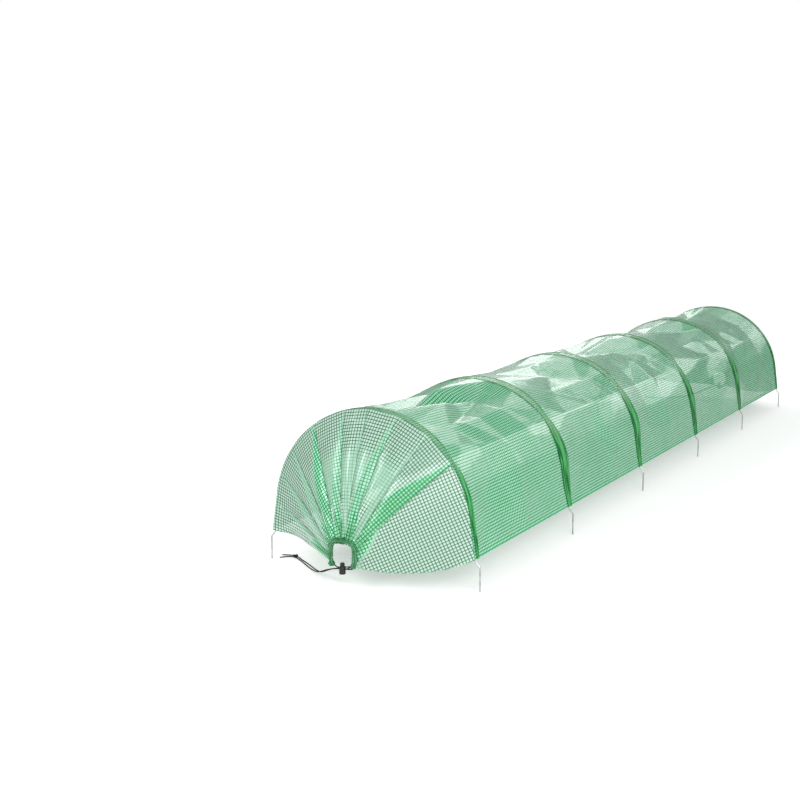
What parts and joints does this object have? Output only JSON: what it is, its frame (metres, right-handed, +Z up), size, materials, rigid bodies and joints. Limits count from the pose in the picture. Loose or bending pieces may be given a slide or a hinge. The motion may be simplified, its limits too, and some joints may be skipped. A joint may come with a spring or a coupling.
{
  "type": "polytunnel greenhouse",
  "caption": "Low grow tunnel of green grid film over bent wire hoops, each end gathered to a small mouth by a drawcord with a push-button cord lock.",
  "frame": {"origin": "on the ground under the middle of the tunnel, level with the ends of the wire feet", "axes": "+Y along the tunnel away from its front end, +X across it to the right seen from the front, +Z up"},
  "size_m": [0.604, 3.296, 0.4215],
  "materials": {
    "wire": "galvanised, dull",
    "film": "translucent green film with a woven grid",
    "sleeve": "doubled green grid film, sewn",
    "hem": "bunched green grid film",
    "cord": "braided",
    "lock": "moulded"
  },
  "bodies": {
    "tunnel": {"hoop_1": "wire", "hoop_sleeve_1": "sleeve", "hoop_2": "wire", "hoop_sleeve_2": "sleeve", "hoop_3": "wire", "hoop_sleeve_3": "sleeve", "hoop_4": "wire", "hoop_sleeve_4": "sleeve", "hoop_5": "wire", "hoop_sleeve_5": "sleeve", "hoop_6": "wire", "hoop_sleeve_6": "sleeve", "cover_bay_1": "film", "cover_bay_2": "film", "cover_bay_3": "film", "cover_bay_4": "film", "cover_bay_5": "film", "front_gathered_end": "film", "front_mouth_hem": "hem", "front_cord_lock_barrel": "lock", "front_drawcord_right": "cord", "front_drawcord_left": "cord", "front_drawcord_knot": "cord", "back_gathered_end": "film", "back_mouth_hem": "hem", "back_cord_lock_barrel": "lock", "back_drawcord_right": "cord", "back_drawcord_left": "cord", "back_drawcord_knot": "cord"},
    "front_button": {"front_cord_lock_button": "lock"},
    "back_button": {"back_cord_lock_button": "lock"}
  },
  "joints": [
    {"name": "front_button_press", "type": "slide", "parent": "tunnel", "child": "front_button", "axis": [0, 0, -1], "range_m": [0, 0.004], "stiffness_N_per_m": 300, "springref_m": -0.006},
    {"name": "back_button_press", "type": "slide", "parent": "tunnel", "child": "back_button", "axis": [0, 0, -1], "range_m": [0, 0.004], "stiffness_N_per_m": 300, "springref_m": -0.006}
  ]
}
